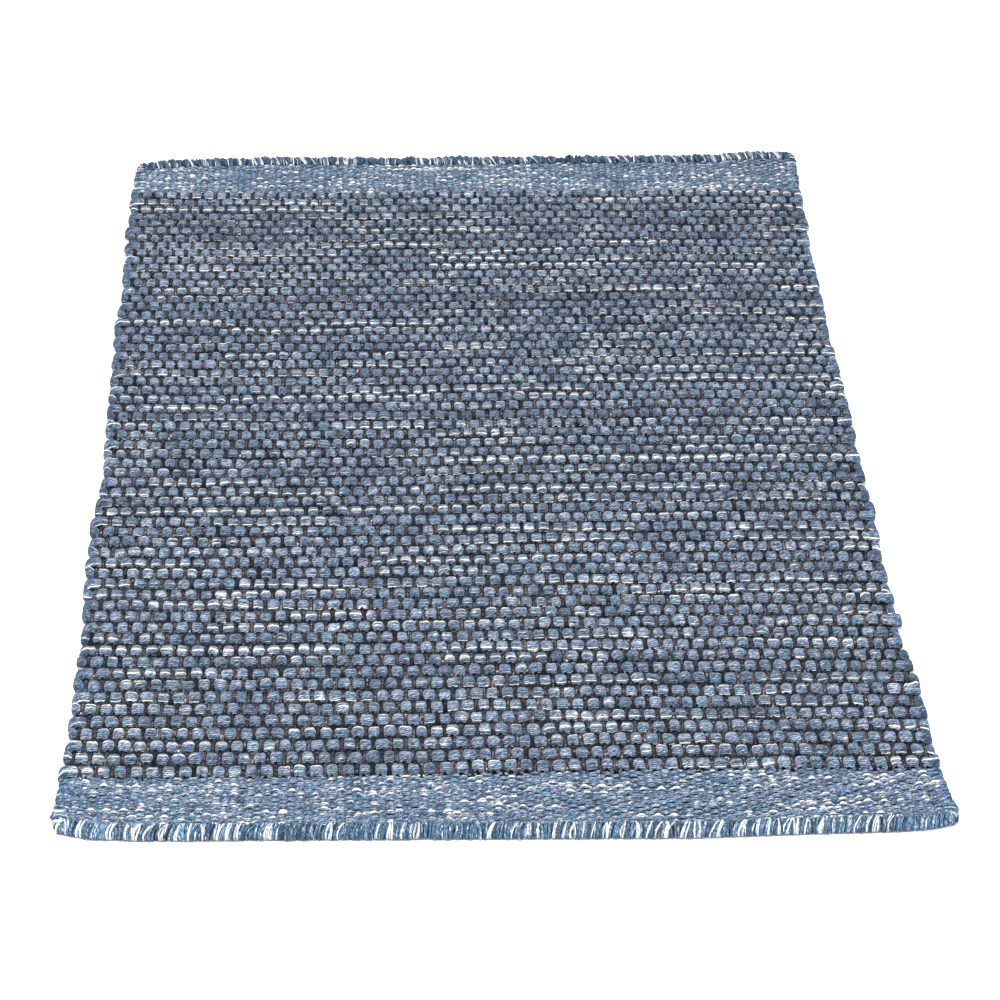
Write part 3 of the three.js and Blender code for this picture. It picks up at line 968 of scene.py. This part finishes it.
def build_pale_strands(end, edges, material, rng):
    """A pale strand or a few side by side where two stitches meet, and some single ones between."""
    binding = BINDINGS[end]
    count = binding["stitches"]
    left, right = binding_span(end)
    plenty = smooth_steps(np.linspace(0, 1, count), rng.uniform(*PALE_PLENTY, PALE_PLENTY_KNOTS))
    between = edges[np.flatnonzero(rng.random(count) < binding["pale_share"] * plenty)]
    sizes, chances = zip(*PALE_BUNDLES)
    strands = rng.choice(sizes, len(between), p=chances)
    order = np.concatenate([np.arange(n) - (n - 1) / 2 for n in strands])
    loose = rng.uniform(left, right, count // 4)
    x = np.concatenate([np.repeat(between, strands) + order * PALE_SPACING, loose])
    x = np.clip(x + rng.normal(0, 0.25, len(x)), left, right)
    lift = rng.uniform(*PALE_LIFT, len(x))
    lean = np.repeat(rng.normal(STITCH_LEAN + PALE_LEAN, 0.13, len(between)), strands)
    lean = np.concatenate([lean, np.full(len(loose), 0.1)]) + rng.normal(0, 0.07, len(x))
    draw = np.concatenate([-order * 0.9 * rng.uniform(-1, 1, len(order)), np.zeros(len(loose))])
    draw = draw + rng.normal(0, 0.7, len(x))
    radius = binding["yarn"] * rng.uniform(*binding["pale_yarn"], len(x))
    sway = rng.normal(0, 0.7, len(x))
    straight = straight_stitches(end, x, lift, lean, draw, sway, radius)
    turns = PALE_CORNER_TURNS + rng.normal(0, 0.04, len(PALE_CORNER_TURNS))
    corners = corner_stitches(end, rng, binding["yarn"] * 0.5, turns, 0.7)
    points, distance = yarn_tubes(end, [np.concatenate(pair) for pair in zip(straight, corners)])
    thread = yarn_values(rng, rng.normal(0.92, 0.10, len(points)), points.shape[1])
    return tube_mesh(f"{end}_binding_pale_yarn", points, distance, material, thread, bake_columns=8)


def build_core(end, material):
    """The roll under the overcast yarn, which fills it."""
    binding = BINDINGS[end]
    y_middle = end_line(end, 0.5)
    x = np.linspace(left_edge(y_middle) + CORE_INSET, right_edge(y_middle) - CORE_INSET, CORE_RINGS)
    angle = np.arange(CORE_SIDES) * 2 * math.pi / CORE_SIDES
    inset = binding["depth"] * CORE_MIDDLE[0] + np.cos(angle) * binding["depth"] * CORE_HALF_DEPTH
    half_height = binding["height"] * 0.5 - binding["yarn"] * CORE_YARN_SPACE
    z = binding["height"] * CORE_MIDDLE[1] + np.sin(angle) * half_height
    y = end_line(end, across_share(x, y_middle))[:, None] - binding["outward"] * inset[None, :]
    points = stacked(x[:, None], y, z)[None]
    # The core's wool is darkened as painted shade.
    thread = plain_thread(1, len(x), CORE_PAINTED_SHADE)
    return tube_mesh(f"{end}_binding_core", points, x - x.min(), material, thread)


def build_binding(end, blue, white):
    rng = np.random.default_rng(SEED + (4 if end == "front" else 5))
    left, right = binding_span(end)
    widths = rng.uniform(0.6, 1.4, BINDINGS[end]["stitches"])
    edges = left + (right - left) * np.concatenate([[0], np.cumsum(widths)]) / widths.sum()
    yarn = build_stitches(end, edges, blue, rng)
    pale_yarn = build_pale_strands(end, edges, white, rng)
    return yarn, pale_yarn, build_core(end, blue)


# Stray fibres on the wool

def build_fibres(material):
    """Fine fibres that lie on the cloth, and shorter ones that curl over the bindings."""
    rng = np.random.default_rng(SEED + 6)
    steps = np.linspace(0, 1, FIBRE_STEPS)
    count = CLOTH_FIBRES + 2 * BINDING_FIBRES
    y0 = np.concatenate([rng.uniform(-435, 440, CLOTH_FIBRES), np.zeros(2 * BINDING_FIBRES)])
    width = right_edge(y0) - left_edge(y0) - 2 * FIBRE_INSET
    x0 = left_edge(y0) + FIBRE_INSET + rng.random(count) * width
    share = across_share(x0, y0)
    lies_on = np.repeat(["cloth", "front", "back"], [CLOTH_FIBRES, BINDING_FIBRES, BINDING_FIBRES])
    for end in ("front", "back"):
        inset = rng.uniform(0.1, 0.9, BINDING_FIBRES) * BINDINGS[end]["depth"]
        y0[lies_on == end] = end_line(end, share[lies_on == end]) - BINDINGS[end]["outward"] * inset
    heading = rng.uniform(0, 2 * math.pi, count)
    bend = rng.normal(0, 1.4, count)
    on_cloth = lies_on == "cloth"
    cloth_length = rng.uniform(*CLOTH_FIBRE_LENGTH, count)
    length = np.where(on_cloth, cloth_length, rng.uniform(*BINDING_FIBRE_LENGTH, count))
    turn = heading[:, None] + bend[:, None] * steps
    stride = length[:, None] / (len(steps) - 1)
    x = x0[:, None] + np.cumsum(np.cos(turn) * stride, axis=1)
    y = y0[:, None] + np.cumsum(np.sin(turn) * stride, axis=1)

    # A fibre lies on the wool under it, and over a binding it follows the binding's round back.
    in_field = (y > FIELD_FRONT_Y) & (y < FIELD_BACK_Y)
    z = np.where(in_field, THICKNESS, BAND_THICKNESS)
    z = z + 0.1 + np.sin(steps * math.pi) * rng.uniform(0.0, 1.6, count)[:, None]
    for end in ("front", "back"):
        inset = (end_line(end, share)[:, None] - y) * BINDINGS[end]["outward"]
        depth, height = BINDINGS[end]["depth"], BINDINGS[end]["height"]
        arch = np.sqrt(np.clip(1 - ((inset - 0.45 * depth) / (0.75 * depth)) ** 2, 0.04, 1))
        over_binding = height * arch + rng.uniform(0.1, 0.6, count)[:, None]
        z = np.where((lies_on == end)[:, None], over_binding, z)
    angle = np.array([90.0, 210.0, 330.0]) * math.pi / 180
    thick = np.where(on_cloth, CLOTH_FIBRE_THICK, BINDING_FIBRE_THICK)
    radius = (thick * rng.uniform(*FIBRE_RADIUS, count))[:, None, None] * (1 - 0.6 * steps[None, :, None])
    points = stacked(x[..., None] + np.cos(angle) * radius * -np.sin(turn)[..., None],
                     y[..., None] + np.cos(angle) * radius * np.cos(turn)[..., None],
                     z[..., None] + np.sin(angle) * radius)
    seed = rng.random(count) * 90
    shade = rng.uniform(0.5, 1.1, count)
    thread = np.repeat(stacked(seed, 0, shade)[:, None], len(steps), axis=1)
    distance = steps * FIBRE_UV_LENGTH
    return tube_mesh("stray_fibres", points, distance, material, thread, bake_columns=26)


# The studio: floor, light and camera

FLOOR_HALF = 6.0
FLOOR_WHITE = (0.92, 0.92, 0.92, 1)
SKY_STRENGTH = 0.95
KEY_LIGHT = dict(place=(-0.7, -1.1, 3.0), size=1.0, power=125)
FILL_LIGHT = dict(place=(2.0, -2.6, 4.0), size=3.0, power=80)

# The photograph's camera, found from the cloth's corners in it. Its angles are in degrees.
CAMERA_PLACE = np.array([-95.0, -1904.0, 1384.0])
BELOW_HORIZON = 36.96
YAW = -3.22
ROLL = 1.54
LENS = 106.1
SENSOR_WIDTH = 36.0


def build_floor():
    mesh = bpy.data.meshes.new("floor")
    half = FLOOR_HALF
    corners = [(-half, -half, 0), (half, -half, 0), (half, half, 0), (-half, half, 0)]
    mesh.from_pydata(corners, [], [(0, 1, 2, 3)])
    floor = bpy.data.objects.new("floor", mesh)
    bpy.context.scene.collection.objects.link(floor)
    s = Shader("floor_white")
    set_inputs(s.surface, {"Base Color": FLOOR_WHITE, "Roughness": 0.9, "Specular IOR Level": 0.1})
    mesh.materials.append(s.material)


def area_light(name, place, size, power):
    """A square light that points at the middle of the kilim."""
    data = bpy.data.lights.new(name, "AREA")
    data.shape = "SQUARE"
    data.size = size
    data.energy = power
    light = bpy.data.objects.new(name, data)
    light.location = place
    light.rotation_euler = (-Vector(place)).to_track_quat("-Z", "Y").to_euler()
    bpy.context.scene.collection.objects.link(light)


def build_studio():
    build_floor()
    world = bpy.data.worlds.new("studio")
    world.use_nodes = True
    set_inputs(world.node_tree.nodes["Background"], {"Color": (1.0, 1.0, 1.0, 1), "Strength": SKY_STRENGTH})
    bpy.context.scene.world = world
    area_light("key", **KEY_LIGHT)
    area_light("fill", **FILL_LIGHT)
    bpy.context.scene.view_settings.view_transform = "Standard"


def turn_about(axis, degrees):
    angles = [math.radians(degrees) if name == axis else 0 for name in "xyz"]
    return Euler(angles).to_matrix()


def build_camera():
    data = bpy.data.cameras.new("camera")
    data.sensor_width = SENSOR_WIDTH
    data.lens = LENS
    camera = bpy.data.objects.new("camera", data)
    camera.location = Vector((CAMERA_PLACE + TABLE_ORIGIN) * MM)
    turned = turn_about("z", YAW) @ turn_about("x", 90 - BELOW_HORIZON) @ turn_about("z", ROLL)
    camera.rotation_euler = turned.to_euler()
    bpy.context.scene.collection.objects.link(camera)
    bpy.context.scene.camera = camera


build_camera()
build_studio()

wool = yarn_material("melange_weft_wool", WEFT_STRANDS, FIELD_TONES, tone_length=22, crease_shade=0.15,
                     fuzz=1.2)
band_wool = yarn_material("fine_weft_wool", BAND_STRANDS, BAND_TONES, tone_length=16, depth_mm=0.6,
                          crease_shade=0.15, fuzz=1.2)
warp_wool = yarn_material("dark_warp_wool", WARP_STRANDS, WARP_TONES, tone_length=2.2, ply_length=2.4,
                          depth_mm=0.6, pale_fibres=0.0, sheen=0.0)
binding_wool = yarn_material("binding_wool_yarn", 3, BINDING_TONES, tone_length=9, ply_length=4,
                             depth_mm=0.5, fuzz=0.9)
pale_wool = yarn_material("pale_wool_yarn", 3, PALE_TONES, tone_length=20, ply_length=4, depth_mm=0.4,
                          crease_shade=0.45, fuzz=0.5)
fibre_wool = yarn_material("stray_fibre_wool", 1, FIBRE_TONES, fuzz=0.1)

ground = build_ground(warp_wool)
wefts = build_weft(wool)
warps = build_warps(warp_wool)
bands = [build_band("front", band_wool), build_band("back", band_wool)]
front_yarns = build_binding("front", binding_wool, pale_wool)
back_yarns = build_binding("back", binding_wool, pale_wool)
hairs = build_fibres(fibre_wool)

cloth_pieces = [ground, *wefts, *warps, *bands, hairs]
for piece in [*cloth_pieces, *front_yarns, *back_yarns]:
    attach(piece, "root")
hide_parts("woven_cloth")
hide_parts("front_binding")
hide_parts("back_binding")
